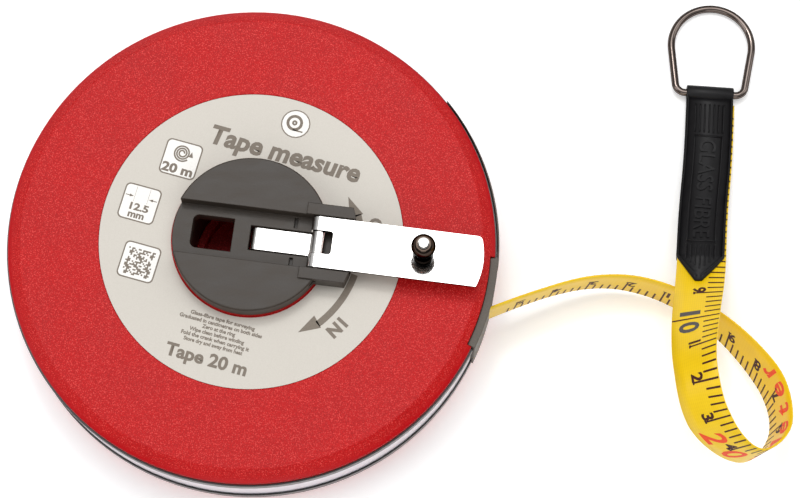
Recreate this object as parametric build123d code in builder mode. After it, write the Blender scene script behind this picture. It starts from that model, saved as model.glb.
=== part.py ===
"""Surveyor's tape reel: a closed round case with a folding crank and a 12.5 mm fibreglass tape.

The case lies on its rear face. +Z is the axis of the case, the origin is the centre of the rear
face, and the tape leaves the case on the +X side.
"""
from build123d import *
from math import acos, atan2, ceil, cos, degrees, hypot, radians, sin, tan
import os

os.makedirs("parts", exist_ok=True)

# ---- driving dimensions, mm and degrees ------------------------------------------------------
case_radius = 61.5
case_height = 25.0
shell_height = 4.0
shell_wall = 2.0
face_bevel_width = 3.2
face_bevel_height = 2.3

seam_proud = 0.5
seam_height = 3.0
frame_wall = 1.8
band_thickness = 0.5
band_proud = 0.1
band_gap = 0.05

mouth_start = -26.8
mouth_lip_end = -4.4
mouth_end = 42.6
mouth_proud = 0.9
mouth_wall = 2.0
mouth_gap_angle = 0.15
tail_proud = 0.5
tail_shift = 1.6
tail_start = -6.4
slot_cut_length = 24.0
mouth_lip_height = 1.5
slot_width = 1.8
slot_extra_height = 0.8
part_gap = 0.1

label_radius = 38.3
label_gap = 0.4
label_thickness = 0.3
collar_wall = 1.1
collar_height = 0.8

tape_width = 12.5
tape_thickness = 0.45
coil_radius = 50.0

drum_turn = -8.0
running_gap = 0.08
journal_radius = 18.6
core_step = 1.0
core_wall = 2.0
flange_reach = 2.9
flange_thickness = 0.8
drum_end_gap = 0.3
washer_thickness = 0.2
rear_washer_thickness = 0.4
rear_journal_height = 4.0
anchor_width = 1.9

hub_rim = 1.15
hub_height = 4.7
hub_lift = 1.1
hub_edge = 0.4
arm_side_gap = 0.4
channel_depth = 3.9
lug_width = 2.9
lug_start = 13.4
lug_reach = 26.7
lug_rise = 0.6
pocket_near_gap = 1.75
pocket_far_gap = 2.55
pocket_side_gap = 1.25
pocket_corner = 1.6
floor_slot_at = 10.8
floor_slot_width = 0.9
floor_slot_depth = 1.0
floor_slot_length = 2.6
floor_slot_edge = 0.35

pin_radius = 0.8
pin_at = 17.05
pin_drop = 1.55
pin_fit = 0.03
pin_recess = 0.45
knuckle_wrap = 265
leaf_width = 5.5
leaf_thickness = 0.8
leaf_start = 0.1
leaf_bend = 1.0
leaf_drop = 0.2
leaf_gap = 0.45
leaf_tail = 2.4

arm_width = 12.9
arm_thickness = 1.2
arm_length = 41.5
arm_end_radius = 18.8
arm_corner = 1.3
window_reach = 3.65
window_corner = 0.8
relief_radius = 0.35
relief_edge = 2.35
knuckle_gap = 0.08
side_gap = 0.25

knob_at = 26.45
knob_radius = 3.05
knob_neck_radius = 2.2
knob_foot_radius = 2.6
knob_foot_height = 0.9
knob_groove = 0.4
knob_ridges = 3
knob_ridge = 0.3
knob_ridge_pitch = 1.0
knob_ball_height = 8.2
knob_height = 10.6
stud_radius = 1.1
stud_head_radius = 1.45
stud_head_height = 0.7
stud_foot_radius = 2.6
stud_foot_height = 0.6

screw_inset = 6.0
screw_angles = (65, 150, 235, 305)
screw_radius = 1.25
screw_head_radius = 2.2
screw_head_height = 1.3
screw_edge = 0.3
screw_recess = 1.8
screw_bite = 12.0
boss_radius = 2.7
boss_foot = 4.0
fastener_gap = 0.05
hub_screw_inset = 1.5
hub_screw_angles = (0, 120, 240)
hub_screw_radius = 0.9
hub_screw_head_radius = 1.4
hub_screw_head_height = 1.0
hub_screw_bite = 2.4
hub_ear_radius = 1.9
hub_ear_height = 2.4
drive_width = 0.5
drive_length = 2.6
drive_depth = 0.5

strap_narrow = 0.2
strap_shift = -0.35
strap_length = 53.5
strap_layer = 1.0
strap_point = 9.5
strap_blunt = 0.15
strap_fit = 0.05
bar_offset = 3.0
ring_wire = 1.9
ring_width = 21.4
ring_height = 24.4
ring_corner = 2.6
ring_side_gap = 0.15
strap_bite = 0.3
ring_clearance = 0.08
ring_rest = 0.05

# The free tape from the mouth to the ring: points of its middle line, and beside each one the
# direction across the tape towards the edge that carries the ticks of its front side.
tape_route = [
    ((58.0, -17.5, 12.5), (0.00, 0.00, 1.00)),
    ((74.0, -10.8, 10.9), (0.03, -0.02, 1.00)),
    ((90.5, -7.0, 8.5), (0.05, 0.02, 1.00)),
    ((105.0, -9.7, 6.6), (0.06, 0.10, 0.99)),
    ((117.3, -17.2, 6.5), (0.10, 0.16, 0.98)),
    ((126.2, -27.0, 9.0), (0.15, 0.30, 0.93)),
    ((132.6, -38.6, 13.6), (0.26, 0.36, 0.88)),
    ((132.6, -50.8, 16.8), (0.34, 0.12, 0.93)),
    ((122.8, -57.2, 20.2), (0.30, 0.08, 0.94)),
    ((112.0, -48.8, 25.4), (0.68, 0.20, 0.68)),
    ((108.8, -35.0, 29.2), (0.76, 0.16, 0.62)),
    ((110.4, -21.5, 22.4), (0.90, 0.06, 0.36)),
    ((113.6, -7.5, 14.2), (0.98, -0.04, 0.18)),
    ((116.3, 10.0, 7.2), (0.99, -0.08, 0.06)),
    ((119.2, 28.0, 3.2), (0.99, -0.09, 0.02)),
    ((120.3, 41.7, 2.25), (1.00, -0.075, 0.00)),
]
arc_share = 0.45
section_step = 3.5

# ---- sizes and levels worked out from the driving dimensions ---------------------------------
seam_radius = case_radius + seam_proud
band_radius = case_radius + band_proud
mouth_radius = case_radius + mouth_proud
screw_ring = case_radius - screw_inset
collar_radius = journal_radius + running_gap + collar_wall
label_inner_radius = collar_radius + label_gap
core_radius = journal_radius - core_step
flange_radius = core_radius + flange_reach
hub_radius = journal_radius + hub_rim
channel_width = arm_width + 2 * arm_side_gap
window_width = leaf_width + 2 * side_gap
folded_knob = knob_at - pin_at
pocket_near = folded_knob - knob_radius - pocket_near_gap
pocket_far = folded_knob + knob_radius + pocket_far_gap
pocket_width = 2 * (knob_radius + pocket_side_gap)
strap_width = tape_width - strap_narrow
ring_foot_width = strap_width + 2 * (ring_side_gap + ring_corner)
anchor_cut_depth = 2 * core_wall + running_gap
face_level = case_height
shell_floor = shell_wall
shell_roof = case_height - shell_wall
frame_bottom = shell_height
frame_top = case_height - shell_height
band_bottom = frame_bottom + seam_height
band_top = frame_top - seam_height
frame_inner = band_radius - band_thickness - frame_wall
mid_level = case_height / 2
hub_bottom = face_level + hub_lift
hub_top = hub_bottom + hub_height
channel_floor = hub_top - channel_depth
drum_top = shell_roof - drum_end_gap
drum_bottom = shell_floor + rear_washer_thickness + part_gap
core_inner = core_radius - core_wall
pin_level = hub_top - pin_drop
arm_bottom = pin_level + pin_radius + knuckle_gap
arm_top = arm_bottom + arm_thickness
knob_place = pin_at + knob_at
leaf_top = channel_floor - leaf_drop
leaf_middle = leaf_top - leaf_thickness / 2

# Directions of the drum: along the crank, and across it.
along = Vector(cos(radians(drum_turn)), sin(radians(drum_turn)), 0)
across = Vector(-sin(radians(drum_turn)), cos(radians(drum_turn)), 0)
up = Vector(0, 0, 1)


def drum_plane(level):
    """A level plane whose local X runs along the crank."""
    return Plane(origin=(0, 0, level), x_dir=along, z_dir=up)


def drum_side_plane():
    """The upright plane along the crank: local X along it, local Y up."""
    return Plane(origin=(0, 0, 0), x_dir=along, z_dir=along.cross(up))


def sector(radius, start, end, mode=Mode.ADD):
    """A pie slice of the level plane between two angles."""
    steps = ceil((end - start) / 30)
    angles = [start + (end - start) * i / steps for i in range(steps + 1)]
    corners = [(radius * cos(radians(a)), radius * sin(radians(a))) for a in angles]
    Polygon((0, 0), *corners, align=None, mode=mode)


def around(radius, angles):
    """Points on a circle about the case's axis, one at each angle."""
    return [(radius * cos(radians(a)), radius * sin(radians(a))) for a in angles]


def finish(piece, name):
    """Label a finished piece and write it as its own file."""
    piece.part.label = name
    export_step(piece.part, f"parts/{name}.step")


# ---- case ------------------------------------------------------------------------------------
bevel_foot = case_radius - face_bevel_width
slice_reach = 2 * case_radius
screw_spots = around(screw_ring, screw_angles)
boss_start = boss_foot + part_gap
mouth_inner = mouth_radius - mouth_wall

with BuildPart() as front_shell:
    with BuildSketch(Plane.XZ):
        with BuildLine():
            Polyline(
                (journal_radius + running_gap, shell_roof),
                (frame_inner + part_gap, shell_roof),
                (frame_inner + part_gap, frame_top),
                (case_radius, frame_top),
                (case_radius, face_level - face_bevel_height),
                (bevel_foot, face_level),
                (label_radius + part_gap, face_level),
                (label_radius + part_gap, face_level - label_thickness),
                (collar_radius, face_level - label_thickness),
                (collar_radius, face_level + collar_height),
                (journal_radius + running_gap, face_level + collar_height),
                close=True,
            )
        make_face()
    revolve(axis=Axis.Z)
    with BuildSketch(Plane.XY.offset(boss_start)):
        with Locations(*screw_spots):
            Circle(boss_radius)
    extrude(amount=shell_roof - boss_start)
    with BuildSketch(Plane.XY.offset(boss_start)):
        with Locations(*screw_spots):
            Circle(screw_radius + fastener_gap)
    extrude(amount=screw_bite + part_gap, mode=Mode.SUBTRACT)
    with BuildSketch(Plane.XY.offset(frame_top - part_gap)):
        sector(slice_reach, mouth_start, mouth_lip_end)
        Circle(mouth_inner - part_gap, mode=Mode.SUBTRACT)
    extrude(amount=case_height, mode=Mode.SUBTRACT)
finish(front_shell, "front_shell")

with BuildPart() as rear_shell:
    with BuildSketch(Plane.XZ):
        with BuildLine():
            Polyline(
                (0, 0),
                (bevel_foot, 0),
                (case_radius, face_bevel_height),
                (case_radius, frame_bottom),
                (frame_inner + part_gap, frame_bottom),
                (frame_inner + part_gap, shell_floor),
                (core_inner - running_gap, shell_floor),
                (core_inner - running_gap, shell_floor + rear_journal_height),
                (core_inner - running_gap - core_wall, shell_floor + rear_journal_height),
                (core_inner - running_gap - core_wall, shell_floor),
                (0, shell_floor),
                close=True,
            )
        make_face()
    revolve(axis=Axis.Z)
    with BuildSketch(Plane.XY.offset(shell_floor)):
        with Locations(*screw_spots):
            Circle(boss_radius)
    extrude(amount=boss_foot - shell_floor)
    with BuildSketch(Plane.XY):
        with Locations(*screw_spots):
            Circle(screw_head_radius + fastener_gap)
    extrude(amount=screw_recess, mode=Mode.SUBTRACT)
    with BuildSketch(Plane.XY):
        with Locations(*screw_spots):
            Circle(screw_radius + fastener_gap)
    extrude(amount=boss_foot, mode=Mode.SUBTRACT)
finish(rear_shell, "rear_shell")

with BuildPart() as rim_frame:
    with BuildSketch(Plane.XY.offset(frame_bottom)):
        Circle(band_radius - band_thickness)
        Circle(frame_inner, mode=Mode.SUBTRACT)
        sector(slice_reach, mouth_start, mouth_lip_end, mode=Mode.SUBTRACT)
    extrude(amount=frame_top - frame_bottom)
    with BuildSketch(Plane.XY.offset(frame_bottom), Plane.XY.offset(band_top)):
        Circle(seam_radius)
        Circle(frame_inner, mode=Mode.SUBTRACT)
        sector(slice_reach, mouth_start, mouth_lip_end, mode=Mode.SUBTRACT)
    extrude(amount=seam_height)
finish(rim_frame, "rim_frame")

with BuildPart() as rim_band:
    with BuildSketch(Plane.XY.offset(band_bottom + band_gap)):
        Circle(band_radius)
        Circle(band_radius - band_thickness + band_gap, mode=Mode.SUBTRACT)
        sector(slice_reach, mouth_start, mouth_lip_end, mode=Mode.SUBTRACT)
    extrude(amount=band_top - band_bottom - 2 * band_gap)
finish(rim_band, "rim_band")

# The guide fills the gap of the frame, and its tail runs on along the front seam as a proud lip
# that fades out.
first_run = Vector(*tape_route[1][0]) - Vector(*tape_route[0][0])
mouth_plane = Plane(
    origin=(tape_route[0][0][0], tape_route[0][0][1], mid_level),
    x_dir=(first_run.X, first_run.Y, 0),
    z_dir=up,
)
tail_centre = around(tail_shift, [mouth_lip_end])[0]

with BuildPart() as mouth_guide:
    with BuildSketch(Plane.XY.offset(frame_bottom)):
        Circle(mouth_radius)
        Circle(mouth_inner, mode=Mode.SUBTRACT)
        sector(slice_reach, mouth_start + mouth_gap_angle, mouth_lip_end - mouth_gap_angle,
               mode=Mode.INTERSECT)
    extrude(amount=frame_top + mouth_lip_height - frame_bottom)
    with BuildSketch(Plane.XY.offset(band_top)):
        with Locations(tail_centre):
            Circle(seam_radius + tail_proud - tail_shift)
        Circle(seam_radius + part_gap, mode=Mode.SUBTRACT)
        sector(slice_reach, tail_start, mouth_end, mode=Mode.INTERSECT)
    extrude(amount=seam_height + mouth_lip_height)
    with BuildSketch(mouth_plane):
        Rectangle(slot_cut_length, slot_width)
    extrude(amount=tape_width / 2 + slot_extra_height, both=True, mode=Mode.SUBTRACT)
finish(mouth_guide, "mouth_guide")

with BuildPart() as front_label:
    with BuildSketch(Plane.XY.offset(face_level - label_thickness)):
        Circle(label_radius)
        Circle(label_inner_radius, mode=Mode.SUBTRACT)
    extrude(amount=label_thickness)
finish(front_label, "front_label")

with BuildPart() as case_screws:
    with BuildSketch(Plane.XY.offset(screw_recess - screw_head_height)):
        with Locations(*screw_spots):
            Circle(screw_head_radius)
    extrude(amount=screw_head_height)
    chamfer(case_screws.faces().group_by(Axis.Z)[0].edges(), screw_edge)
    with BuildSketch(Plane.XY.offset(screw_recess)):
        with Locations(*screw_spots):
            Circle(screw_radius)
    extrude(amount=boss_start - screw_recess + screw_bite)
    with BuildSketch(Plane.XY.offset(screw_recess - screw_head_height)):
        with Locations(*screw_spots):
            Rectangle(drive_length, drive_width)
            Rectangle(drive_width, drive_length)
    extrude(amount=drive_depth, mode=Mode.SUBTRACT)
finish(case_screws, "case_screws")

with BuildPart() as front_washer:
    with BuildSketch(Plane.XY.offset(shell_roof - washer_thickness)):
        Circle(flange_radius)
        Circle(journal_radius + part_gap, mode=Mode.SUBTRACT)
    extrude(amount=washer_thickness)
finish(front_washer, "front_washer")

with BuildPart() as rear_washer:
    with BuildSketch(Plane.XY.offset(shell_floor)):
        Circle(flange_radius)
        Circle(core_inner + part_gap, mode=Mode.SUBTRACT)
    extrude(amount=rear_washer_thickness)
finish(rear_washer, "rear_washer")

# ---- drum and hub ----------------------------------------------------------------------------
hub_screw_spots = around(core_inner - hub_screw_inset, hub_screw_angles)
channel_side = channel_width / 2
lug_side = channel_side + lug_width
leaf_bottom = leaf_top - leaf_thickness
slot_side = leaf_width / 2 + leaf_gap
knuckle_middle = pin_radius + pin_fit + leaf_thickness / 2
leaf_rise = pin_at - knuckle_middle

with BuildPart() as hub_cap:
    with BuildSketch(drum_plane(drum_top)):
        Circle(journal_radius)
    extrude(amount=hub_bottom - drum_top)
    with BuildSketch(drum_plane(hub_bottom)):
        Circle(hub_radius)
    extrude(amount=hub_height)
    fillet(hub_cap.faces().sort_by(Axis.Z)[-1].edges(), hub_edge)
    with BuildSketch(drum_plane(hub_bottom)):
        Circle(lug_reach)
        with Locations((lug_start + lug_reach / 2, 0)):
            Rectangle(lug_reach, 2 * lug_side, mode=Mode.INTERSECT)
    extrude(amount=hub_height + lug_rise)
    with BuildSketch(drum_plane(channel_floor)):
        Rectangle(4 * lug_reach, channel_width)
    extrude(amount=case_height, mode=Mode.SUBTRACT)
    with BuildSketch(drum_plane(drum_top)) as pocket:
        with Locations((-(pocket_near + pocket_far) / 2, 0)):
            Rectangle(pocket_far - pocket_near, pocket_width)
        fillet(pocket.vertices().group_by(Axis.X)[0], pocket_corner)
    extrude(amount=hub_height + case_height, mode=Mode.SUBTRACT)
    with BuildSketch(drum_plane(leaf_bottom - part_gap)):
        with Locations(((leaf_start + leaf_rise) / 2, 0)):
            Rectangle(leaf_rise - leaf_start + 2 * leaf_gap, 2 * slot_side)
    extrude(amount=case_height, mode=Mode.SUBTRACT)
    with BuildSketch(drum_plane(drum_top)):
        with Locations((leaf_start + leaf_thickness / 2, 0)):
            Rectangle(leaf_thickness + 2 * leaf_gap, 2 * slot_side)
    extrude(amount=case_height, mode=Mode.SUBTRACT)
    with BuildSketch(drum_plane(channel_floor - floor_slot_depth)):
        with GridLocations(1, channel_width - floor_slot_length - 2 * floor_slot_edge, 1, 2):
            with Locations((floor_slot_at, 0)):
                Rectangle(floor_slot_width, floor_slot_length)
    extrude(amount=floor_slot_depth, mode=Mode.SUBTRACT)
    with BuildSketch(drum_side_plane()):
        with Locations((pin_at, pin_level)):
            Circle(pin_radius + pin_fit)
    extrude(amount=2 * lug_side, both=True, mode=Mode.SUBTRACT)
    with BuildSketch(drum_plane(drum_top)):
        with Locations(*hub_screw_spots):
            Circle(hub_screw_radius + fastener_gap)
    extrude(amount=hub_screw_bite + part_gap, mode=Mode.SUBTRACT)
finish(hub_cap, "hub_cap")

with BuildPart() as drum_core:
    with BuildSketch(drum_plane(drum_bottom)):
        Circle(core_radius)
    extrude(amount=drum_top - drum_bottom)
    with BuildSketch(drum_plane(drum_bottom), drum_plane(drum_top - flange_thickness)):
        Circle(flange_radius)
    extrude(amount=flange_thickness)
    with BuildSketch(drum_plane(drum_bottom)):
        Circle(core_inner)
    extrude(amount=drum_top - drum_bottom, mode=Mode.SUBTRACT)
    with BuildSketch(drum_plane(drum_top - hub_ear_height)):
        with Locations(*hub_screw_spots):
            Circle(hub_ear_radius)
    extrude(amount=hub_ear_height)
    with BuildSketch(drum_plane(drum_top - hub_ear_height)):
        with Locations(*hub_screw_spots):
            Circle(hub_screw_radius + fastener_gap)
    extrude(amount=hub_ear_height, mode=Mode.SUBTRACT)
    with BuildSketch(drum_plane(mid_level)):
        with Locations((0, core_radius)):
            Rectangle(anchor_width + 2 * fastener_gap, anchor_cut_depth)
    extrude(amount=tape_width / 2, both=True, mode=Mode.SUBTRACT)
finish(drum_core, "drum_core")

with BuildPart() as tape_anchor:
    with BuildSketch(drum_plane(mid_level)):
        Circle(core_radius)
        Circle(core_inner, mode=Mode.SUBTRACT)
        with Locations((0, core_radius)):
            Rectangle(anchor_width, anchor_cut_depth, mode=Mode.INTERSECT)
    extrude(amount=tape_width / 2 - fastener_gap, both=True)
finish(tape_anchor, "tape_anchor")

with BuildPart() as tape_coil:
    with BuildSketch(Plane.XY.offset(mid_level)):
        Circle(coil_radius)
        Circle(core_radius + fastener_gap, mode=Mode.SUBTRACT)
    extrude(amount=tape_width / 2, both=True)
finish(tape_coil, "tape_coil")

with BuildPart() as hub_screws:
    with BuildSketch(drum_plane(drum_top - hub_ear_height - hub_screw_head_height)):
        with Locations(*hub_screw_spots):
            Circle(hub_screw_head_radius)
    extrude(amount=hub_screw_head_height)
    with BuildSketch(drum_plane(drum_top - hub_ear_height)):
        with Locations(*hub_screw_spots):
            Circle(hub_screw_radius)
    extrude(amount=hub_ear_height + hub_screw_bite)
    with BuildSketch(drum_plane(drum_top - hub_ear_height - hub_screw_head_height)):
        with Locations(*hub_screw_spots):
            Rectangle(hub_screw_head_radius, drive_width)
            Rectangle(drive_width, hub_screw_head_radius)
    extrude(amount=drive_depth, mode=Mode.SUBTRACT)
finish(hub_screws, "hub_screws")

# ---- crank -----------------------------------------------------------------------------------
with BuildPart() as hinge_pin:
    with BuildSketch(drum_side_plane()):
        with Locations((pin_at, pin_level)):
            Circle(pin_radius)
    extrude(amount=lug_side - pin_recess, both=True)
finish(hinge_pin, "hinge_pin")

with BuildPart() as hinge_leaf:
    with BuildSketch(drum_side_plane()):
        with BuildLine() as leaf_line:
            leaf_run = FilletPolyline(
                (leaf_start + leaf_thickness / 2, leaf_middle - leaf_tail),
                (leaf_start + leaf_thickness / 2, leaf_middle),
                (leaf_rise, leaf_middle),
                (leaf_rise, pin_level),
                radius=leaf_bend,
            )
            CenterArc((pin_at, pin_level), knuckle_middle, 180, -knuckle_wrap)
        trace(leaf_line.edges(), leaf_thickness)
    extrude(amount=leaf_width / 2, both=True)
finish(hinge_leaf, "hinge_leaf")

arm_side = arm_width / 2
arm_tip = pin_at + arm_length
arm_shoulder = arm_tip - arm_end_radius + (arm_end_radius**2 - arm_side**2) ** 0.5
ear_middle = pin_radius + knuckle_gap + arm_thickness / 2

with BuildPart() as crank_arm:
    with BuildSketch(drum_side_plane()):
        with BuildLine() as ear_line:
            CenterArc((pin_at, pin_level), ear_middle, 90, knuckle_wrap)
        trace(ear_line.edges(), arm_thickness)
    extrude(amount=arm_side, both=True)
    with BuildSketch(drum_plane(arm_bottom)) as plate:
        with BuildLine():
            Polyline((arm_shoulder, arm_side), (pin_at, arm_side), (pin_at, -arm_side),
                     (arm_shoulder, -arm_side))
            ThreePointArc((arm_shoulder, -arm_side), (arm_tip, 0), (arm_shoulder, arm_side))
        make_face()
        fillet(plate.vertices().group_by(Axis.X)[-1].sort_by(Axis.Y)[-1], arm_corner)
    extrude(amount=arm_thickness)
    with BuildSketch(drum_plane(0)) as window:
        with Locations((pin_at, 0)):
            Rectangle(2 * window_reach, window_width)
        fillet(window.vertices().group_by(Axis.X)[-1], window_corner)
    extrude(amount=2 * case_height, mode=Mode.SUBTRACT)
    with BuildSketch(drum_plane(arm_bottom)):
        with Locations((knob_place, 0)):
            Circle(stud_radius + pin_fit)
    extrude(amount=arm_thickness, mode=Mode.SUBTRACT)
    with BuildSketch(drum_plane(pin_level)):
        with Locations((pin_at - ear_middle, -arm_side + relief_edge)):
            Circle(relief_radius)
    extrude(amount=2 * arm_thickness, mode=Mode.SUBTRACT)
finish(crank_arm, "crank_arm")

knob_origin = along * knob_place + up * arm_top
knob_plane = Plane(origin=knob_origin, x_dir=along, z_dir=along.cross(up))
knob_axis = Axis(knob_origin, up)
stud_top = knob_height + running_gap

with BuildPart() as knob_stud:
    with BuildSketch(knob_plane):
        with BuildLine():
            Polyline(
                (0, -arm_thickness - stud_foot_height),
                (stud_foot_radius, -arm_thickness - stud_foot_height),
                (stud_foot_radius, -arm_thickness),
                (stud_radius, -arm_thickness),
                (stud_radius, stud_top),
                (stud_head_radius, stud_top),
                (stud_head_radius, stud_top + stud_head_height / 2),
                (stud_radius, stud_top + stud_head_height),
                (0, stud_top + stud_head_height),
                close=True,
            )
        make_face()
    revolve(axis=knob_axis)
finish(knob_stud, "knob_stud")

knob_bore = stud_radius + running_gap
ball_foot = knob_ball_height - (knob_radius**2 - knob_neck_radius**2) ** 0.5
ball_top = (knob_radius**2 - (knob_height - knob_ball_height) ** 2) ** 0.5

with BuildPart() as knob_sleeve:
    with BuildSketch(knob_plane):
        with BuildLine():
            Polyline(
                (ball_top, knob_height),
                (knob_bore, knob_height),
                (knob_bore, running_gap),
                (knob_foot_radius, running_gap),
                (knob_foot_radius, knob_foot_height),
                (knob_neck_radius, knob_foot_height + knob_groove),
                (knob_neck_radius, ball_foot),
            )
            ThreePointArc((knob_neck_radius, ball_foot), (knob_radius, knob_ball_height),
                          (ball_top, knob_height))
        make_face()
        for ridge in range(knob_ridges):
            ridge_level = knob_foot_height + knob_groove + (ridge + 1) * knob_ridge_pitch
            with Locations((knob_neck_radius, ridge_level)):
                Rectangle(2 * knob_ridge, knob_ridge_pitch / 2)
    revolve(axis=knob_axis)
finish(knob_sleeve, "knob_sleeve")

# ---- free tape, strap and ring ---------------------------------------------------------------
route_points = [Vector(*point) for point, _ in tape_route]
route_across = [Vector(*direction) for _, direction in tape_route]
runs = [b - a for a, b in zip(route_points, route_points[1:])]
turns = [a.get_angle(b) for a, b in zip(runs, runs[1:])]
radii = [
    arc_share * min(a.length, b.length) / tan(radians(turn) / 2)
    for a, b, turn in zip(runs, runs[1:], turns)
]
print("tape runs, mm:", [round(run.length, 1) for run in runs])
print("tape turns, degrees:", [round(turn, 1) for turn in turns])
print("tape arc radii, mm:", [round(radius, 1) for radius in radii])

with BuildLine() as tape_line:
    tape_path = FilletPolyline(*route_points, radius=radii)
tape_wire = tape_line.wire()
tape_length = tape_wire.length
run_ends = [0.0]
for run in runs:
    run_ends.append(run_ends[-1] + run.length)
print("tape length, mm:", round(tape_length, 1))


def tape_plane(distance):
    """The cross-section plane at a distance along the tape: local X across it, local Z on."""
    share = min(max(distance / tape_length, 0), 1)
    place = share * run_ends[-1]
    index = max(i for i in range(len(runs)) if run_ends[i] <= place)
    blend = (place - run_ends[index]) / runs[index].length
    side = route_across[index] * (1 - blend) + route_across[index + 1] * blend
    forward = tape_wire % share
    side = (side - forward * side.dot(forward)).normalized()
    past_end = forward * (distance - share * tape_length)
    return Plane(origin=tape_wire @ share + past_end, x_dir=side, z_dir=forward)


def stations(start, end):
    """Evenly spaced distances along the tape from start to end, both included."""
    count = ceil((end - start) / section_step)
    return [start + (end - start) * i / count for i in range(count + 1)]


with BuildPart() as free_tape:
    for distance in stations(0, tape_length):
        with BuildSketch(tape_plane(distance)):
            Rectangle(tape_width, tape_thickness)
    loft(ruled=True)
finish(free_tape, "free_tape")
print("tape volume over section x length:",
      round(free_tape.part.volume / (tape_width * tape_thickness * tape_length), 4))

# The strap folds round the ring's bar, and its two layers run back along the tape to a point.
layer_offset = tape_thickness / 2 + strap_fit + strap_layer / 2
bar_radius = ring_wire / 2
barrel_inner = bar_radius + ring_clearance
barrel_outer = barrel_inner + strap_layer
bar_plane = tape_plane(tape_length + bar_offset)
strap_tip = tape_length - strap_length
strap_root = tape_length + bar_offset - barrel_inner - strap_bite


def strap_width_at(distance):
    """Full width along the strap, tapered to a blunt point at its tip."""
    return strap_width * min(1, strap_blunt + (distance - strap_tip) / strap_point)


with BuildPart() as hook_strap:
    for side in (1, -1):
        for distance in stations(strap_tip, strap_root):
            with BuildSketch(tape_plane(distance)):
                with Locations((strap_shift, side * layer_offset)):
                    Rectangle(strap_width_at(distance), strap_layer)
        loft(ruled=True)
    with BuildSketch(Plane(origin=bar_plane.origin + bar_plane.x_dir * strap_shift,
                           x_dir=bar_plane.z_dir, z_dir=bar_plane.x_dir)):
        Circle(barrel_outer)
        Circle(barrel_inner, mode=Mode.SUBTRACT)
    extrude(amount=strap_width / 2, both=True)
finish(hook_strap, "hook_strap")

# The ring lies on from the strap, and its round end rests on the ground.
ring_forward = Vector(bar_plane.z_dir.X, bar_plane.z_dir.Y, 0).normalized() * ring_height
ring_forward = ring_forward + up * (bar_radius + ring_rest - bar_plane.origin.Z)
ring_side = Vector(bar_plane.x_dir.X, bar_plane.x_dir.Y, 0).normalized()
ring_plane = Plane(
    origin=bar_plane.origin + ring_side * strap_shift,
    x_dir=ring_side,
    z_dir=ring_side.cross(ring_forward),
)
bow_radius = ring_width / 2
bow_centre = ring_height - bow_radius
foot_side = ring_foot_width / 2
foot_reach = hypot(foot_side, bow_centre)
bow_lean = degrees(acos(bow_radius / foot_reach) + atan2(-bow_centre, foot_side))

with BuildPart() as end_ring:
    with BuildLine(ring_plane) as ring_line:
        bow = CenterArc((0, bow_centre), bow_radius, bow_lean, 180 - 2 * bow_lean)
        FilletPolyline(bow @ 1, (-foot_side, 0), (foot_side, 0), bow @ 0, radius=ring_corner)
    with BuildSketch(Plane(origin=ring_plane.origin, z_dir=ring_plane.x_dir)):
        Circle(bar_radius)
    sweep(path=ring_line.wire())
finish(end_ring, "end_ring")
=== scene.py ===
from math import ceil, cos, pi, radians, sin

import bmesh
import bpy
from mathutils import Matrix, Vector


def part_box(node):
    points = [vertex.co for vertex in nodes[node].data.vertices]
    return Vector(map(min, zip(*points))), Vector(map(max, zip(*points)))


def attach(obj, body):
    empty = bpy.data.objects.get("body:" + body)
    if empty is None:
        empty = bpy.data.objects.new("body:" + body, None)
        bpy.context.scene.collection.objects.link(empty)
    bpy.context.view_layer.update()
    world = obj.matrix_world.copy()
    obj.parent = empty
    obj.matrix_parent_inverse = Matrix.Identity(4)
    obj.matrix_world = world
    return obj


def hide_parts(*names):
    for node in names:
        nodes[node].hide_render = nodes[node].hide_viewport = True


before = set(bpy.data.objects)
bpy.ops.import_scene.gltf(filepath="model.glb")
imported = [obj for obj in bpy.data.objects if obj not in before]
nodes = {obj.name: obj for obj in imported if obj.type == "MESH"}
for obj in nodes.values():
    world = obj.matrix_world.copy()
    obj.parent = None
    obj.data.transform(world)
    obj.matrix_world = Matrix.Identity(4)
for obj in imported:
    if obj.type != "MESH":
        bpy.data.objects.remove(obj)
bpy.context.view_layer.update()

MM = 0.001
UP = Vector((0, 0, 1))


# ---- sizes taken from the frame --------------------------------------------------------------
face_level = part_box("front_label")[1].z
case_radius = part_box("front_shell")[1].x
bevel_foot = case_radius - 0.9 * MM
tape_width = 12.5 * MM
tape_thickness = 0.45 * MM


# ---- camera ----------------------------------------------------------------------------------
def make_camera():
    """The camera stands over the near edge of the reel and looks almost straight down."""
    data = bpy.data.cameras.new("camera")
    data.lens = 107.46
    data.sensor_width = 36
    data.clip_start = 0.01
    camera = bpy.data.objects.new("camera", data)
    bpy.context.scene.collection.objects.link(camera)
    camera.location = (0.03566, -0.15490, 0.60507)
    aim = Vector((0.03745, 0.00365, 0)) - camera.location
    camera.rotation_euler = aim.to_track_quat("-Z", "Y").to_euler()
    bpy.context.scene.camera = camera


make_camera()
bpy.context.scene.view_settings.view_transform = "Standard"


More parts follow.
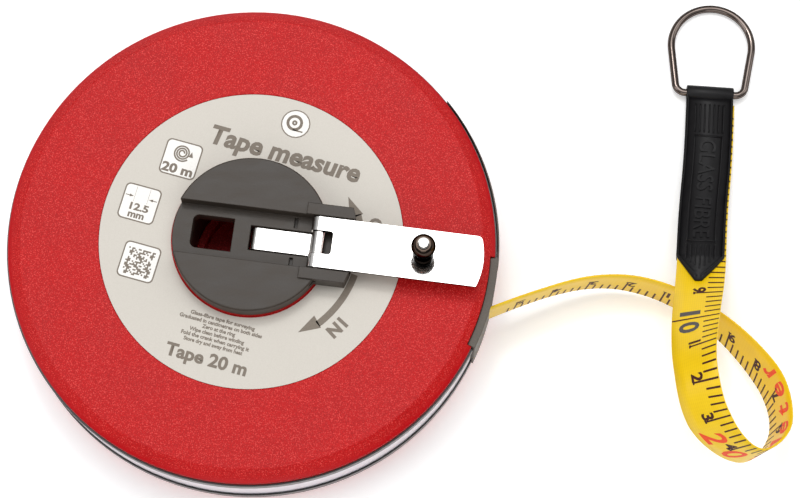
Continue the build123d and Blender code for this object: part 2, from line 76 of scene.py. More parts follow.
# ---- materials: a small language for shader maths ---------------------------------------------
class Value:
    """A shader value that changes over a surface. Arithmetic on it adds Math nodes."""

    def __init__(self, finish, socket):
        self.finish = finish
        self.socket = socket

    def _maths(self, operation, *values):
        inputs = dict(enumerate(values))
        return self.finish.node("ShaderNodeMath", {"operation": operation}, inputs)

    def __add__(self, other):
        return self._maths("ADD", self, other)

    def __radd__(self, other):
        return self._maths("ADD", other, self)

    def __rsub__(self, other):
        return self._maths("SUBTRACT", other, self)

    def __mul__(self, other):
        return self._maths("MULTIPLY", self, other)

    def above(self, level, softness):
        """0 below the level and 1 above it, with a soft step between."""
        settings = {"interpolation_type": "SMOOTHSTEP"}
        inputs = {"Value": self, "From Min": level - softness, "From Max": level + softness}
        return self.finish.node("ShaderNodeMapRange", settings, inputs)

    def wave(self, pitch):
        """A smooth ripple between 0 and 1 that repeats every pitch."""
        return self._maths("SINE", self * (2 * pi / pitch)) * 0.5 + 0.5


def socket_name(word):
    """The shader's own name of a socket written as a Python word."""
    return word.replace("_", " ").title().replace("Ior", "IOR")


class Finish:
    """One procedural material on a Principled shader."""

    def __init__(self, name, **fixed):
        self.material = bpy.data.materials.new(name)
        self.material.use_nodes = True
        self.tree = self.material.node_tree
        self.shader = self.tree.nodes["Principled BSDF"]
        for socket, value in fixed.items():
            self.shader.inputs[socket_name(socket)].default_value = value
        self.place = self.node("ShaderNodeTexCoord", output="Object")

    def node(self, kind, settings=None, inputs=None, output=0):
        """Adds any node: its settings first, then the values or links of its sockets."""
        made = self.tree.nodes.new(kind)
        for name, value in (settings or {}).items():
            setattr(made, name, value)
        for socket, value in (inputs or {}).items():
            self.feed(made.inputs[socket], value)
        return Value(self, made.outputs[output])

    def feed(self, socket, value):
        if isinstance(value, Value):
            self.tree.links.new(value.socket, socket)
        else:
            socket.default_value = value

    def noise(self, grain, detail=2.0, stretch=None):
        """Cloudy noise between 0 and 1; grain is its size in metres."""
        place = self.place
        if stretch:
            mapping = {"Vector": self.place, "Scale": stretch}
            place = self.node("ShaderNodeMapping", inputs=mapping)
        inputs = {"Vector": place, "Scale": 1 / grain, "Detail": detail}
        return self.node("ShaderNodeTexNoise", inputs=inputs)

    def mix(self, share, low, high):
        """A colour between two colours."""
        inputs = {0: share, 6: low, 7: high}
        return self.node("ShaderNodeMix", {"data_type": "RGBA"}, inputs, output=2)

    def set(self, **values):
        for socket, value in values.items():
            self.feed(self.shader.inputs[socket_name(socket)], value)

    def bump(self, height, depth, strength=1.0, edge=0.0):
        """Bump of a height from 0 to 1 and a depth in metres; a radius softens sharp edges."""
        inputs = {"Height": height, "Distance": depth, "Strength": strength}
        if edge:
            inputs["Normal"] = self.node("ShaderNodeBevel", {"samples": 6}, {"Radius": edge})
        self.set(normal=self.node("ShaderNodeBump", inputs=inputs))

    def on(self, *objects):
        """Puts the material on these objects in place of any other."""
        for thing in objects:
            thing.data.materials.clear()
            thing.data.materials.append(self.material)


def ink(red, green, blue):
    """A screen colour, 0 to 1, as the linear colour that shaders use."""
    channels = (red, green, blue)
    linear = [((c + 0.055) / 1.055) ** 2.4 if c > 0.04045 else c / 12.92 for c in channels]
    return (*linear, 1)


def grained_red():
    """Moulded red shell: a fine eroded grain on the flat face with pale painted glints on it, and a
    smooth glossy bevel.
    """
    red = Finish("shell_red", specular_ior_level=0.22)
    across = red.node("ShaderNodeVectorMath", {"operation": "MULTIPLY"},
                      {0: red.place, 1: (1, 1, 0)})
    radius = red.node("ShaderNodeVectorMath", {"operation": "LENGTH"}, {0: across}, output=1)
    smooth = radius.above(bevel_foot, 0.8 * MM)
    speckle = red.noise(0.3 * MM, 3.0)
    clouds = red.noise(14 * MM, 3.0)
    pits = speckle.above(0.5, 0.16)
    plain = red.mix(pits * 0.55 + clouds * 0.45, ink(0.62, 0.0, 0.015), ink(0.78, 0.02, 0.035))
    # Painted glints: pale specks at the grain's peaks stand in for highlights of the lamps on the
    # grain, put into the colour.
    painted_glints = red.noise(0.28 * MM, 1.0).above(0.62, 0.07)
    face = red.mix(painted_glints * 0.65, plain, ink(0.94, 0.32, 0.30))
    red.set(base_color=red.mix(smooth, face, ink(0.70, 0.0, 0.04)))
    red.set(roughness=0.46 - smooth * 0.2 + clouds * 0.1)
    red.bump(speckle * (1 - smooth), 0.06 * MM, 0.6, 0.5 * MM)
    return red


def glossy_black():
    """Glossy black moulding of the seam, slightly worn."""
    black = Finish("seam_black", specular_ior_level=0.6)
    wear = black.noise(1.6 * MM, 4.0)
    black.set(base_color=black.mix(wear, ink(0.06, 0.05, 0.05), ink(0.13, 0.11, 0.10)))
    black.set(roughness=0.22 + wear * 0.16)
    black.bump(wear, 0.02 * MM, 0.4, 0.25 * MM)
    return black


def satin_black():
    """Satin black moulding of the hub, lifted to warm grey by a fine erosion."""
    satin = Finish("hub_black", specular_ior_level=0.36)
    grain = satin.noise(0.35 * MM, 3.0)
    scuffs = satin.noise(7 * MM, 6.0, (1, 3, 1))
    satin.set(base_color=satin.mix(grain * 0.35 + scuffs * 0.65,
                                   ink(0.11, 0.085, 0.065), ink(0.27, 0.235, 0.20)))
    satin.set(roughness=0.34 + scuffs * 0.2)
    satin.bump(grain, 0.03 * MM, 0.5, 0.3 * MM)
    return satin


def guide_grey():
    """Dark grey moulding of the tape mouth."""
    guide = Finish("guide_grey", specular_ior_level=0.5)
    grain = guide.noise(0.4 * MM, 3.0)
    guide.set(base_color=guide.mix(grain, ink(0.25, 0.225, 0.19), ink(0.37, 0.34, 0.30)))
    guide.set(roughness=0.42 + grain * 0.15)
    guide.bump(grain, 0.03 * MM, 0.5, 0.3 * MM)
    return guide


def label_foil():
    """Warm grey printed foil with a faint brushed grain."""
    foil = Finish("label_foil", specular_ior_level=0.4)
    brushed = foil.noise(0.5 * MM, 3.0, (1, 14, 1))
    mottle = foil.noise(0.3 * MM, 2.0)
    foil.set(base_color=foil.mix(brushed * 0.5 + mottle * 0.5,
                                 ink(0.755, 0.73, 0.69), ink(0.84, 0.82, 0.785)))
    foil.set(roughness=0.42 + brushed * 0.14)
    foil.bump(brushed, 0.01 * MM, 0.3)
    return foil


def printed(name, low, high, roughness=0.5):
    """Printing ink whose coverage varies a little."""
    paint = Finish(name, specular_ior_level=0.35)
    patches = paint.noise(0.5 * MM, 3.0)
    paint.set(base_color=paint.mix(patches, low, high))
    paint.set(roughness=roughness + patches * 0.12)
    return paint


def polished(name, low, high, roughness, edge=1.0):
    """Bright metal with hairlines; a low edge value gives the dark edges of plated wire."""
    metal = Finish(name, metallic=1.0, specular_tint=(edge, edge * 0.95, edge * 0.9, 1))
    hairs = metal.noise(0.5 * MM, 4.0, (1, 8, 1))
    smudge = metal.noise(7 * MM, 2.0)
    metal.set(base_color=metal.mix(smudge, low, high))
    metal.set(roughness=roughness + hairs * 0.06)
    metal.bump(hairs, 0.004 * MM, 0.25)
    return metal


def tape_yellow():
    """Coated glass-fibre tape: lengthwise threads show faintly under the yellow."""
    tape = Finish("tape_yellow", specular_ior_level=0.35, coat_weight=0.12, coat_roughness=0.2)
    along = tape.node("ShaderNodeAttribute", {"attribute_name": "along"}, output="Fac")
    across = tape.node("ShaderNodeAttribute", {"attribute_name": "across"}, output="Fac")
    threads = across.wave(0.55 * MM) * 0.7 + along.wave(0.9 * MM) * 0.3
    clouds = tape.noise(5 * MM, 3.0)
    tape.set(base_color=tape.mix(threads * 0.35 + clouds * 0.65,
                                 ink(0.90, 0.73, 0.0), ink(0.975, 0.82, 0.03)))
    tape.set(roughness=0.34 + clouds * 0.14)
    tape.bump(threads, 0.02 * MM, 0.35)
    return tape


def strap_black():
    """Soft black plastic with a matt bloom."""
    rubber = Finish("strap_black", specular_ior_level=0.28)
    bloom = rubber.noise(2.2 * MM, 5.0)
    grain = rubber.noise(0.25 * MM, 2.0)
    rubber.set(base_color=rubber.mix(bloom, ink(0.03, 0.025, 0.03), ink(0.075, 0.07, 0.08)))
    rubber.set(roughness=0.42 + bloom * 0.18)
    rubber.bump(grain, 0.02 * MM, 0.5)
    return rubber


# ---- making meshes -----------------------------------------------------------------------------
def new_object(name, mesh):
    thing = bpy.data.objects.new(name, mesh)
    bpy.context.scene.collection.objects.link(thing)
    return thing


def mesh_of(vertices, faces):
    mesh = bpy.data.meshes.new("shape")
    mesh.from_pydata([tuple(v) for v in vertices], [], faces)
    mesh.update()
    return mesh


def outward(mesh):
    """Turns the faces of closed pieces so that they all look out."""
    shape = bmesh.new()
    shape.from_mesh(mesh)
    bmesh.ops.recalc_face_normals(shape, faces=shape.faces)
    shape.to_mesh(mesh)
    shape.free()
    return mesh


# ---- tape --------------------------------------------------------------------------------------
# Points of the free tape's middle line from the mouth to the strap, in metres, and beside each
# one the direction across the tape towards the edge that carries the ticks of its front side.
tape_route = [
    ((0.0580, -0.0175, 0.0125), (0.00, 0.00, 1.00)),
    ((0.0740, -0.0108, 0.0109), (0.03, -0.02, 1.00)),
    ((0.0905, -0.0070, 0.0085), (0.05, 0.02, 1.00)),
    ((0.1050, -0.0097, 0.0066), (0.06, 0.10, 0.99)),
    ((0.1173, -0.0172, 0.0065), (0.10, 0.16, 0.98)),
    ((0.1262, -0.0270, 0.0090), (0.15, 0.30, 0.93)),
    ((0.1326, -0.0386, 0.0136), (0.26, 0.36, 0.88)),
    ((0.1321, -0.0510, 0.0176), (0.34, 0.12, 0.93)),
    ((0.1225, -0.0577, 0.0230), (0.30, 0.08, 0.94)),
    ((0.1119, -0.0498, 0.0308), (0.68, 0.20, 0.68)),
    ((0.1086, -0.0362, 0.0350), (0.76, 0.16, 0.62)),
    ((0.1105, -0.0224, 0.0264), (0.90, 0.06, 0.36)),
    ((0.1141, -0.0077, 0.0146), (0.98, -0.04, 0.12)),
    ((0.1163, 0.0100, 0.0072), (0.99, -0.08, 0.06)),
    ((0.1192, 0.0280, 0.0032), (0.99, -0.09, 0.02)),
    ((0.1203, 0.0417, 0.00225), (1.00, -0.075, 0.00)),
]


def nurbs_line(points):
    """The smooth line that a NURBS spline makes of its control points."""
    curve = bpy.data.curves.new("route", "CURVE")
    curve.dimensions = "3D"
    curve.resolution_u = 16
    spline = curve.splines.new("NURBS")
    spline.points.add(len(points) - 1)
    for made, place in zip(spline.points, points):
        made.co = (*place, 1)
    spline.order_u = 3
    spline.use_endpoint_u = True
    thing = bpy.data.objects.new("route", curve)
    mesh = bpy.data.meshes.new_from_object(thing)
    line = []
    for vertex in mesh.vertices:
        if not line or (vertex.co - line[-1]).length > 0.01 * MM:
            line.append(vertex.co.copy())
    bpy.data.objects.remove(thing)
    return line


def between(vectors, marks, mark):
    """The vector at a mark, blended from the two whose marks lie on either side."""
    i = max(k for k in range(len(marks) - 1) if marks[k] <= mark or k == 0)
    share = (mark - marks[i]) / (marks[i + 1] - marks[i])
    return vectors[i].lerp(vectors[i + 1], share)


direction_span = 1.2 * MM


class TapeLine:
    """The tape's middle line, with the direction across it at every distance."""

    def __init__(self, route):
        self.points = nurbs_line([place for place, _ in route])
        self.reach = [0.0]
        for a, b in zip(self.points, self.points[1:]):
            self.reach.append(self.reach[-1] + (b - a).length)
        self.length = self.reach[-1]
        places = [Vector(place) for place, _ in route]
        self.sides = [Vector(side) for _, side in route]
        self.marks = [0.0]
        for a, b in zip(places, places[1:]):
            self.marks.append(self.marks[-1] + (b - a).length)

    def at(self, distance):
        """Place, onward direction, direction across, and front normal at a distance."""
        held = min(max(distance, 0.0), self.length)
        back = max(held - direction_span, 0.0)
        ahead = min(held + direction_span, self.length)
        onward = (self.spot(ahead) - self.spot(back)).normalized()
        side = between(self.sides, self.marks, held / self.length * self.marks[-1])
        side = (side - onward * side.dot(onward)).normalized()
        place = self.spot(held) + onward * (distance - held)
        return place, onward, side, side.cross(onward)

    def spot(self, distance):
        """The place on the middle line at a distance."""
        return between(self.points, self.reach, distance)

    def lay(self, mesh, step=0.8 * MM):
        """Bends a flat mesh onto the tape: X runs along it, Y across it and Z off its front."""
        shape = bmesh.new()
        shape.from_mesh(mesh)
        low = min(v.co.x for v in shape.verts)
        high = max(v.co.x for v in shape.verts)
        for k in range(1, ceil((high - low) / step)):
            cut = low + k * step
            everything = [*shape.verts, *shape.edges, *shape.faces]
            bmesh.ops.bisect_plane(shape, geom=everything, plane_co=(cut, 0, 0),
                                   plane_no=(1, 0, 0))
        for v in shape.verts:
            place, _, side, front = self.at(v.co.x)
            v.co = place + side * v.co.y + front * v.co.z
        shape.to_mesh(mesh)
        shape.free()
        mesh.update()
        return mesh


line = TapeLine(tape_route)
station_step = 1.0 * MM
edge_round = 0.12 * MM


def make_tape():
    """The tape itself: a thin strip with rounded edges, swept along its line."""
    half = tape_width / 2
    thick = tape_thickness / 2
    inner = half - edge_round
    flat = (-inner, -inner / 2, 0, inner / 2, inner)
    outline = [(-half, 0), *((y, -thick) for y in flat), (half, 0), *((y, thick) for y in flat[::-1])]
    count = ceil(line.length / station_step)
    vertices, faces, along, across = [], [], [], []
    for k in range(count + 1):
        distance = line.length * k / count
        place, _, side, front = line.at(distance)
        for y, z in outline:
            vertices.append(place + side * y + front * z)
            along.append(distance)
            across.append(y)
    n = len(outline)
    for k in range(count):
        for i in range(n):
            j = (i + 1) % n
            faces.append((k * n + i, k * n + j, (k + 1) * n + j, (k + 1) * n + i))
    faces.append(tuple(range(n - 1, -1, -1)))
    faces.append(tuple(count * n + i for i in range(n)))
    mesh = outward(mesh_of(vertices, faces))
    for name, values in (("along", along), ("across", across)):
        mesh.attributes.new(name, "FLOAT", "POINT").data.foreach_set("value", values)
    mesh.shade_smooth()
    tape = new_object("tape", mesh)
    tape_yellow().on(tape)
    return tape


def flat_text(words, height, bold=0.0, slant=0.0, width=None, relief=0.0):
    """A flat mesh of some characters, its baseline on y = 0 and its middle on x = 0."""
    font = bpy.data.curves.new("words", "FONT")
    font.body = words
    font.size = height / 0.7
    font.align_x = "CENTER"
    font.offset = bold
    font.shear = slant
    font.extrude = relief
    font.resolution_u = 3
    thing = bpy.data.objects.new("words", font)
    mesh = bpy.data.meshes.new_from_object(thing)
    bpy.data.objects.remove(thing)
    if width:
        span = max(v.co.x for v in mesh.vertices) - min(v.co.x for v in mesh.vertices)
        mesh.transform(Matrix.Scale(width / span, 4, (1, 0, 0)))
    return mesh


def joined(meshes, name):
    """One object of several meshes."""
    shape = bmesh.new()
    for mesh in meshes:
        shape.from_mesh(mesh)
    whole = bpy.data.meshes.new(name)
    shape.to_mesh(whole)
    shape.free()
    return new_object(name, whole)


def bar(x0, x1, y0, y1, z=0.0):
    return mesh_of([(x0, y0, z), (x1, y0, z), (x1, y1, z), (x0, y1, z)], [(0, 1, 2, 3)])


# The scale starts inside the end of the ring, past the end of the tape's own line.
ring_reach = 30.3 * MM
scale_zero = line.length + ring_reach
print_lift = tape_thickness / 2 + 0.02 * MM
tick_width = 0.48 * MM
tick_pitch = 2 * MM
first_tick = 17
ticks_per_line = 5
ticks_per_ten = 50
unprinted_start = 5 * MM


def on_tape(mesh, distance, height_above_edge, face):
    """Moves a flat mark to its distance from the scale's zero, on the front (1) or back (-1).

    The mark reads away from the ring, and its top points to the edge with the ticks."""
    turn = Matrix(((-1, 0, 0), (0, face, 0), (0, 0, face)))
    mesh.transform(turn.to_4x4())
    shift = Vector((scale_zero - distance, face * height_above_edge, face * print_lift))
    mesh.transform(Matrix.Translation(shift))
    return mesh


# The size word in its slanted letters, with each letter's distance from zero in mm.
size_letters = (("2", 134.3), ("0", 141.3), ("M", 151), ("e", 157.5), ("t", 163), ("e", 168.5),
                ("r", 174))


def make_print():
    """Ticks every 2 mm, a line and a digit every centimetre, large digits every ten."""
    half = tape_width / 2
    dark, grey, red = [], [], []
    line_foot = half - 7.6 * MM
    last_tick = int((scale_zero - unprinted_start) / tick_pitch)
    for face in (1, -1):
        for k in range(first_tick, last_tick):
            distance = k * tick_pitch
            whole = k % ticks_per_line == 0
            tens = k % ticks_per_ten == 0
            low = half - 4.1 * MM
            if whole:
                low = line_foot
            if tens:
                low = -half + 0.2 * MM
            tick = bar(-tick_width / 2, tick_width / 2, low, half - 0.1 * MM)
            dark.append(on_tape(tick, distance, 0, face))
            if whole and not tens:
                digit = flat_text(str(k // ticks_per_line % 10), 3.1 * MM, 0.15 * MM)
                dark.append(on_tape(digit, distance - 1.15 * MM, line_foot, face))
                foot = bar(-0.5 * MM, 0.5 * MM, 0, tick_width)
                dark.append(on_tape(foot, distance, line_foot, face))
            if tens:
                for digit, beside in zip(str(k // ticks_per_line), (-2.0, 3.1)):
                    width = 1.5 * MM if digit == "1" else 3.7 * MM
                    big = flat_text(digit, 5.0 * MM, 0.2 * MM, width=width)
                    grey.append(on_tape(big, distance + beside * MM, -half + 2.3 * MM, face))
        for letter, place in size_letters:
            size = flat_text(letter, 5.8 * MM, 0.22 * MM, 0.3)
            red.append(on_tape(size, place * MM, -half + 1.7 * MM, face))
    made = []
    for name, marks, look in (
        ("tape_scale", dark, printed("ink_brown", ink(0.20, 0.06, 0.03), ink(0.30, 0.10, 0.05))),
        ("tape_tens", grey, printed("ink_grey", ink(0.26, 0.25, 0.25), ink(0.38, 0.36, 0.36))),
        ("tape_size", red, printed("ink_red", ink(0.90, 0.22, 0.05), ink(0.97, 0.36, 0.12))),
    ):
        thing = joined([line.lay(mesh) for mesh in marks], name)
        look.on(thing)
        made.append(thing)
    return made


tape = make_tape()
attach(tape, "case")
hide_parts("free_tape")
tape_marks = make_print()
for marks in tape_marks:
    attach(marks, "case")


# ---- strap -------------------------------------------------------------------------------------
strap_half = 6.15 * MM
strap_shift = -0.35 * MM
strap_end = line.length + 1.6 * MM
strap_tip = line.length - 55.2 * MM
strap_shoulder = strap_tip + 8.5 * MM
layer_low = tape_thickness / 2 + 0.05 * MM
layer_top = layer_low + 1.0 * MM
body_top = layer_top - 0.25 * MM
relief_low = body_top - 0.1 * MM
rim_outer = strap_half - 0.15 * MM
rim_inner = strap_half - 0.6 * MM
tip_half = 0.9 * MM
ridge = strap_end - 1.4 * MM
frame_low = strap_shoulder + 4.8 * MM
frame_high = ridge - 9.5 * MM
frame_half = 3.9 * MM
frame_line = 0.5 * MM
rib_pitch = 1.25 * MM
rib_half = 0.22 * MM
barrel_shift = 3.0 * MM


def prism(outline, low, high):
    """A solid of a flat outline between two heights."""
    n = len(outline)
    vertices = [(x, y, low) for x, y in outline] + [(x, y, high) for x, y in outline]
    faces = [tuple(range(n - 1, -1, -1)), tuple(range(n, 2 * n))]
    faces += [(i, (i + 1) % n, n + (i + 1) % n, n + i) for i in range(n)]
    return mesh_of(vertices, faces)


def softened(mesh, width):
    """The same mesh with its edges rounded."""
    shape = bmesh.new()
    shape.from_mesh(mesh)
    bmesh.ops.bevel(shape, geom=shape.edges[:], offset=width, segments=2, affect="EDGES",
                    clamp_overlap=True)
    shape.to_mesh(mesh)
    shape.free()
    return mesh


def raised(outline, edge):
    """A low relief on the strap's front."""
    return softened(prism(outline, relief_low, layer_top), edge)


def make_strap():
    """Both layers of the strap, its relief and the fold round the ring's bar, as one object."""
    half = strap_half
    outline = [(strap_end, -half), (strap_end, half), (strap_shoulder, half),
               (strap_tip, tip_half), (strap_tip, -tip_half), (strap_shoulder, -half)]
    shapes = []
    for side in (1, -1):
        low, high = sorted((side * layer_low, side * body_top))
        shapes.append(softened(prism(outline, low, high), 0.12 * MM))
    for side in (-1, 1):
        outer, inner = side * rim_outer, side * rim_inner
        edge = [(strap_end, outer), (strap_end, inner),
                (strap_shoulder, inner), (strap_shoulder, outer)]
        slope = [(strap_shoulder, outer), (strap_shoulder, inner),
                 (strap_tip + 1.2 * MM, side * 0.35 * MM), (strap_tip + 0.15 * MM, side * 0.75 * MM)]
        shapes += [raised(edge[::side], 0.1 * MM), raised(slope[::side], 0.1 * MM)]
    for start, end, taper in (
        (ridge - 8.8 * MM, ridge - 0.6 * MM, 0),
        (strap_shoulder - 4.6 * MM, strap_shoulder + 4.0 * MM, 1.15 * MM),
    ):
        for k in range(-3, 4):
            near = start + abs(k) * taper
            left, right = k * rib_pitch - rib_half, k * rib_pitch + rib_half
            shapes.append(raised([(near, left), (end, left), (end, right), (near, right)], 0.09 * MM))
    inside = frame_half - frame_line
    for x0, x1, y0, y1 in (
        (frame_low, frame_high, inside, frame_half),
        (frame_low, frame_high, -frame_half, -inside),
        (frame_low, frame_low + frame_line, -inside, inside),
        (frame_high - frame_line, frame_high, -inside, inside),
    ):
        shapes.append(raised([(x0, y0), (x1, y0), (x1, y1), (x0, y1)], 0.1 * MM))
    words = flat_text("GLASS FIBRE", 4.2 * MM, 0.05 * MM, width=frame_high - frame_low - 2.6 * MM,
                      relief=0.12 * MM)
    words.transform(Matrix.Scale(-1, 4, (1, 0, 0)))
    middle = (frame_low + frame_high) / 2
    words.transform(Matrix.Translation((middle, -2.1 * MM, layer_top - 0.06 * MM)))
    shapes.append(words)
    for mesh in shapes:
        mesh.transform(Matrix.Translation((0, strap_shift, 0)))
        line.lay(mesh, 1.5 * MM)
    place, onward, side, front = line.at(line.length + barrel_shift)
    shapes.append(make_barrel(place + side * strap_shift, onward, side, front))
    return joined([outward(mesh) for mesh in shapes], "strap")


def make_barrel(place, onward, side, front):
    """The fold of the strap round the ring's bar."""
    inner, outer, half, corner = 1.03 * MM, 2.03 * MM, strap_half, 0.15 * MM
    profile = [(inner, -half), (outer - corner, -half), (outer, -half + corner),
               (outer, half - corner), (outer - corner, half), (inner, half)]
    count = 40
    vertices = []
    for k in range(count):
        turn = 2 * pi * k / count
        arm = onward * cos(turn) + front * sin(turn)
        vertices += [place + arm * r + side * y for r, y in profile]
    n = len(profile)
    faces = []
    for k in range(count):
        here, there = k * n, (k + 1) % count * n
        faces += [(here + i, here + (i + 1) % n, there + (i + 1) % n, there + i) for i in range(n)]
    return mesh_of(vertices, faces)


strap = make_strap()
strap_black().on(strap)
strap.data.shade_smooth()
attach(strap, "case")
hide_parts("hook_strap")

exit_place = line.at(0)[0]


# ---- finishes of the frame's own nodes -----------------------------------------------------------
grained_red().on(nodes["front_shell"], nodes["rear_shell"])
glossy_black().on(nodes["rim_frame"])
guide_grey().on(nodes["mouth_guide"])
label_foil().on(nodes["front_label"])
satin_black().on(nodes["hub_cap"], nodes["drum_core"], nodes["tape_anchor"])
polished("band_metal", ink(0.86, 0.86, 0.91), ink(0.94, 0.94, 0.97), 0.3).on(nodes["rim_band"])
polished("crank_metal", ink(0.93, 0.92, 0.91), ink(0.98, 0.975, 0.965), 0.06, edge=0.2).on(
    nodes["crank_arm"], nodes["hinge_leaf"], nodes["hinge_pin"])
polished("knob_metal", ink(0.20, 0.16, 0.14), ink(0.33, 0.29, 0.26), 0.07, edge=0.0).on(
    nodes["knob_sleeve"])
polished("stud_metal", ink(0.95, 0.93, 0.91), ink(0.98, 0.97, 0.95), 0.07, edge=0.2).on(
    nodes["knob_stud"])
polished("ring_metal", ink(0.30, 0.26, 0.24), ink(0.50, 0.46, 0.44), 0.05, edge=0.0).on(
    nodes["end_ring"])
polished("screw_metal", ink(0.70, 0.70, 0.70), ink(0.80, 0.79, 0.77), 0.25).on(
    nodes["case_screws"], nodes["hub_screws"])
printed("washer_natural", ink(0.84, 0.83, 0.78), ink(0.90, 0.89, 0.85)).on(
    nodes["front_washer"], nodes["rear_washer"])
printed("coil_yellow", ink(0.85, 0.68, 0.05), ink(0.95, 0.79, 0.08), 0.4).on(nodes["tape_coil"])


# ---- printing on the label ---------------------------------------------------------------------
label_turn = radians(-16.5)
label_plane = face_level + 0.03 * MM
icon_side = 9.5 * MM
# Middles of the boxed pictograms, in mm.
icon_places = {"length": (-17.9, 21.3), "width": (-28.2, 9.7), "pattern": (-28.1, -5.5)}
emblem_place = (11.2, 30.3)
box_lift = 0.01 * MM
mark_lift = 0.02 * MM


def on_label(mesh, place, turn=label_turn, within=(0, 0), lift=0.0):
    """Puts a flat mark on the label: moved within its own sheet, turned, then set down. In mm."""
    inner = Matrix.Translation((within[0] * MM, within[1] * MM, 0))
    outer = Matrix.Translation((place[0] * MM, place[1] * MM, label_plane + lift))
    mesh.transform(outer @ Matrix.Rotation(turn, 4, "Z") @ inner)
    return mesh


def rounded(width, height, corner):
    """A flat rectangle with round corners, centred on the origin."""
    points = []
    for quarter, (sx, sy) in enumerate(((1, 1), (-1, 1), (-1, -1), (1, -1))):
        middle = (sx * (width / 2 - corner), sy * (height / 2 - corner))
        for k in range(6):
            turn = (quarter + k / 5) * pi / 2
            points.append((middle[0] + corner * cos(turn), middle[1] + corner * sin(turn), 0))
    return mesh_of(points, [tuple(range(len(points)))])


def ribbon(middle, width):
    """A flat band along a line of points."""
    vertices = []
    for k, place in enumerate(middle):
        before = middle[max(k - 1, 0)]
        after = middle[min(k + 1, len(middle) - 1)]
        along = (Vector(after) - Vector(before)).normalized()
        beside = Vector((-along.y, along.x)) * width / 2
        vertices.append((place[0] - beside.x, place[1] - beside.y, 0))
        vertices.append((place[0] + beside.x, place[1] + beside.y, 0))
    faces = [(2 * k, 2 * k + 2, 2 * k + 3, 2 * k + 1) for k in range(len(middle) - 1)]
    return mesh_of(vertices, faces)


def arc_points(radius, start, end, end_radius=None, steps=48):
    """Points along an arc or a spiral about the origin, in degrees."""
    points = []
    for k in range(steps + 1):
        turn = radians(start + (end - start) * k / steps)
        reach = radius + ((end_radius or radius) - radius) * k / steps
        points.append((reach * cos(turn), reach * sin(turn)))
    return points


def arrow_head(tip, turn, length, width):
    """A flat triangle whose tip points along the turn."""
    mesh = mesh_of([(0, 0, 0), (-length, width / 2, 0), (-length, -width / 2, 0)], [(0, 1, 2)])
    mesh.transform(Matrix.Translation((*tip, 0)) @ Matrix.Rotation(turn, 4, "Z"))
    return mesh


def arc_arrow(start, end, words, word_turn):
    """A bent arrow round the hub, and the word outside it that says which way the tape goes."""
    radius = 27.6 * MM
    sense = 1 if end > start else -1
    neck = end - sense * 11
    band = ribbon(arc_points(radius, start, neck, steps=24), 1.7 * MM)
    tip = arc_points(radius * 0.97, end, end, steps=1)[0]
    head = arrow_head(tip, radians((end + neck) / 2 + sense * 93), 5.6 * MM, 3.6 * MM)
    marks = [on_label(band, (0, 0), 0), on_label(head, (0, 0), 0)]
    reach = 30.0
    for k, letter in enumerate(words):
        turn = radians(word_turn - 5.2 * (k - (len(words) - 1) / 2))
        place = (reach * cos(turn), reach * sin(turn))
        marks.append(on_label(flat_text(letter, 3.0 * MM, 0.22 * MM), place, turn - pi / 2))
    return marks


def make_icons():
    """Three boxed pictograms: length, width and a plain pattern of squares."""
    dark, white = [], []

    def mark(mesh, icon, x, y):
        dark.append(on_label(mesh, icon_places[icon], within=(x, y), lift=mark_lift))

    inner = icon_side - 0.7 * MM
    for place in icon_places.values():
        dark.append(on_label(rounded(icon_side, icon_side, 1.3 * MM), place))
        white.append(on_label(rounded(inner, inner, 1.05 * MM), place, lift=box_lift))
    coil = ribbon(arc_points(0.5 * MM, 0, 1040, 2.2 * MM, 140), 0.42 * MM)
    mark(coil, "length", -0.1, 1.6)
    mark(arrow_head((2.35 * MM, 0.9 * MM), pi / 2, 1.5 * MM, 1.2 * MM), "length", -0.1, 1.6)
    mark(flat_text("20 m", 2.3 * MM, 0.14 * MM, width=8.1 * MM), "length", -0.1, -3.9)
    for x in (-1.75, 1.75):
        mark(ribbon([(0, -2 * MM), (0, 2 * MM)], 0.07 * MM), "width", x, 2.2)
    for side in (-1, 1):
        mark(ribbon([(side * 4.1 * MM, 0), (side * 2.9 * MM, 0)], 0.22 * MM), "width", 0, 1.5)
        turn = 0 if side < 0 else pi
        mark(arrow_head((side * 1.95 * MM, 0), turn, 1.1 * MM, 0.75 * MM), "width", 0, 1.5)
    mark(flat_text("12.5", 1.75 * MM, 0.1 * MM, width=4.9 * MM), "width", 0, -1.9)
    mark(flat_text("mm", 1.75 * MM, 0.1 * MM, width=4.2 * MM), "width", 0, -3.9)
    squares = 17
    square = 7.0 / squares
    for row in range(squares):
        for column in range(squares):
            if (row * row * 7 + column * column * 11 + row * column * 5 + row + 3 * column) % 13 % 2:
                mark(bar(0, square * MM, 0, square * MM), "pattern",
                     (column - squares / 2) * square, (row - squares / 2) * square - 0.25)
    return dark, white


def make_emblem():
    """A plain round emblem with a reel and the end of its tape."""
    dark = [on_label(rounded(7.5 * MM, 7.5 * MM, 3.75 * MM), emblem_place)]
    white = [on_label(rounded(6.9 * MM, 6.9 * MM, 3.45 * MM), emblem_place, lift=box_lift)]
    for points, width in (
        (arc_points(1.75 * MM, 0, 360), 0.75 * MM),
        (arc_points(0.45 * MM, 0, 360), 0.5 * MM),
        ([(0, -1.9 * MM), (2.6 * MM, -1.9 * MM)], 0.4 * MM),
    ):
        mesh = ribbon(points, width)
        dark.append(on_label(mesh, emblem_place, within=(-0.3, 0.2), lift=mark_lift))
    return dark, white


# The small lines of text, each with its width in mm.
small_lines = (
    ("Glass-fibre tape for surveying", 16.7),
    ("Graduated in centimetres on both sides", 21.4),
    ("Zero at the ring", 8.6),
    ("Wipe clean before winding", 14.2),
    ("Fold the crank when carrying it", 17.6),
    ("Store dry and away from heat", 15.2),
)


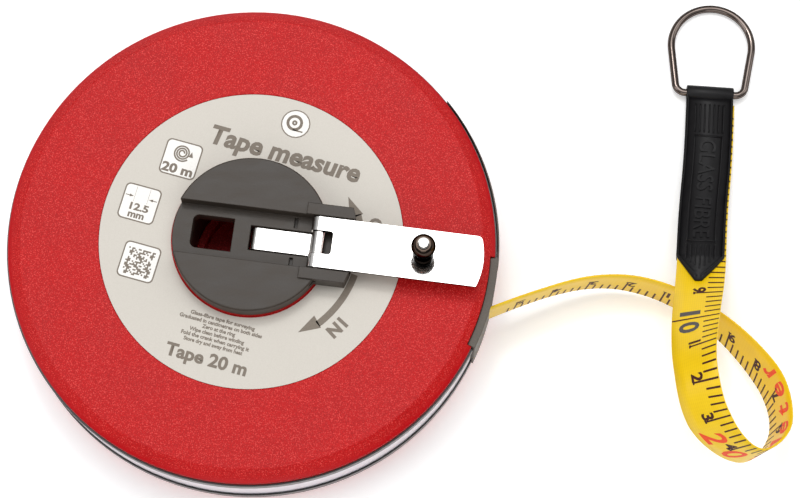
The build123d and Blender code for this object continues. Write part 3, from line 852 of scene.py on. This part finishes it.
def make_label_print():
    """Everything printed on the label: the dark marks and the white boxes under them."""
    taupe, white = make_icons()
    for made, more in zip((taupe, white), make_emblem()):
        made += more
    word = flat_text("Tape measure", 4.8 * MM, 0.24 * MM, 0.12, width=39.5 * MM)
    taupe.append(on_label(word, (8.3, 22.2), within=(0, -2.0)))
    for k, (words, width) in enumerate(small_lines):
        small = flat_text(words, 0.95 * MM, 0.05 * MM, width=width * MM)
        taupe.append(on_label(small, (-7.0 - 0.48 * k, -20.8 - 1.28 * k), within=(0, -0.4)))
    large = flat_text("Tape 20 m", 3.2 * MM, 0.16 * MM, width=21 * MM)
    taupe.append(on_label(large, (-10.9, -30.6), within=(0, -1.5)))
    taupe += arc_arrow(-20, -64, "IN", -46)
    taupe += arc_arrow(-9, 24, "OUT", 1)
    return taupe, white


taupe, white = make_label_print()
label_ink = joined(taupe, "label_ink")
printed("ink_taupe", ink(0.44, 0.40, 0.36), ink(0.52, 0.48, 0.43)).on(label_ink)
label_boxes = joined(white, "label_boxes")
printed("ink_white", ink(0.93, 0.92, 0.90), ink(0.98, 0.97, 0.955)).on(label_boxes)
for piece in (label_ink, label_boxes):
    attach(piece, "case")


# ---- floor and light -----------------------------------------------------------------------------
def make_floor():
    """White paper that glows a little, so that it stays white where the light falls off."""
    floor = new_object("floor", bar(-3, 3, -3, 3, -0.0002))
    paper = Finish("floor_paper", roughness=0.9, emission_strength=0.24)
    fibre = paper.noise(3 * MM, 2.0)
    paper.set(base_color=paper.mix(fibre, ink(0.975, 0.975, 0.975), ink(0.99, 0.99, 0.99)))
    paper.shader.inputs["Emission Color"].default_value = (1, 1, 1, 1)
    paper.on(floor)


light_aim = Vector((0.03, 0, 0))


def make_light(name, place, size, power):
    """A rectangular lamp that looks at the part."""
    data = bpy.data.lights.new(name, "AREA")
    data.shape = "RECTANGLE"
    data.size = size[0]
    data.size_y = size[1]
    data.energy = power
    light = bpy.data.objects.new(name, data)
    bpy.context.scene.collection.objects.link(light)
    light.location = place
    light.rotation_euler = (light_aim - Vector(place)).to_track_quat("-Z", "Y").to_euler()


def make_world():
    """A soft studio: bright overhead and darker towards the horizon."""
    world = bpy.data.worlds.new("studio")
    bpy.context.scene.world = world
    world.use_nodes = True
    tree = world.node_tree
    background = tree.nodes["Background"]
    background.inputs["Color"].default_value = (1, 1, 1, 1)
    direction = tree.nodes.new("ShaderNodeTexCoord")
    parts = tree.nodes.new("ShaderNodeSeparateXYZ")
    fade = tree.nodes.new("ShaderNodeMapRange")
    fade.interpolation_type = "SMOOTHSTEP"
    for socket, value in (("From Min", 0.15), ("From Max", 0.85), ("To Min", 0.16), ("To Max", 0.62)):
        fade.inputs[socket].default_value = value
    tree.links.new(direction.outputs["Generated"], parts.inputs[0])
    tree.links.new(parts.outputs["Z"], fade.inputs["Value"])
    tree.links.new(fade.outputs["Result"], background.inputs["Strength"])


make_floor()
make_world()
make_light("top_light", (0.0, 0.34, 1.15), (0.9, 0.7), 5.6)
make_light("left_light", (-0.9, -0.2, 0.7), (0.5, 0.9), 2.4)
make_light("right_light", (0.9, 0.1, 0.6), (0.4, 0.9), 1.6)
make_light("near_light", (0.0, -0.95, 0.55), (0.9, 0.4), 1.9)
make_light("spark_light", (-0.05, 0.42, 1.0), (0.14, 0.14), 1.2)
